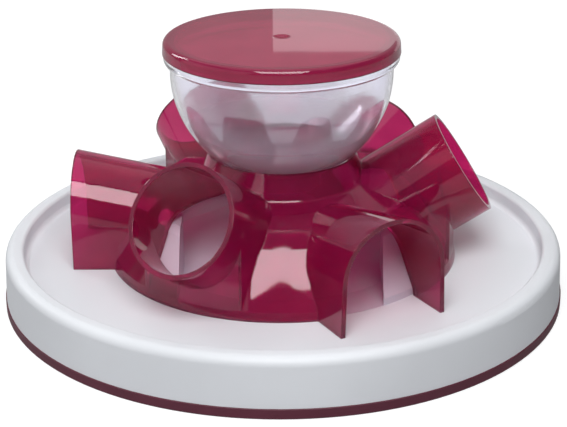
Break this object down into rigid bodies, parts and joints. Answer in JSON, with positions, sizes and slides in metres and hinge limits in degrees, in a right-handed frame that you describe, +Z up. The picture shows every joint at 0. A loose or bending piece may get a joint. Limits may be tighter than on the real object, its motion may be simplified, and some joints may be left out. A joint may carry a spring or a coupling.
{
  "type": "cat puzzle feeder",
  "caption": "Round feeding tray with a hub of level and upward slanting tunnels, fed with dry food from a clear bowl with a lid on top.",
  "frame": {"origin": "middle of the face that the feeder stands on", "axes": "+Z up; +X points to one of the slanted tubes, the arches point to 60, 180 and 300 degrees about +Z from +X"},
  "size_m": [0.2754, 0.2754, 0.128],
  "materials": {
    "white_plastic": "smooth satin moulding, cool white",
    "berry_rubber": "soft matt elastomer, berry red",
    "berry_plastic": "polished, slightly see-through berry red",
    "clear_plastic": "clear, polished, faintly lilac"
  },
  "bodies": {
    "tray": {"tray": "white_plastic", "anti_slip_ring": "berry_rubber", "distributor": "white_plastic"},
    "hub": {"hub": "berry_plastic"},
    "bowl": {"bowl": "clear_plastic"},
    "lid": {"lid": "berry_plastic"}
  },
  "joints": [
    {"name": "hub_lift", "type": "slide", "parent": "tray", "child": "hub", "axis": [0, 0, 1], "range_m": [0, 0.07]},
    {"name": "bowl_lift", "type": "slide", "parent": "hub", "child": "bowl", "axis": [0, 0, 1], "range_m": [0, 0.08]},
    {"name": "lid_lift", "type": "slide", "parent": "bowl", "child": "lid", "axis": [0, 0, 1], "range_m": [0, 0.06]}
  ]
}
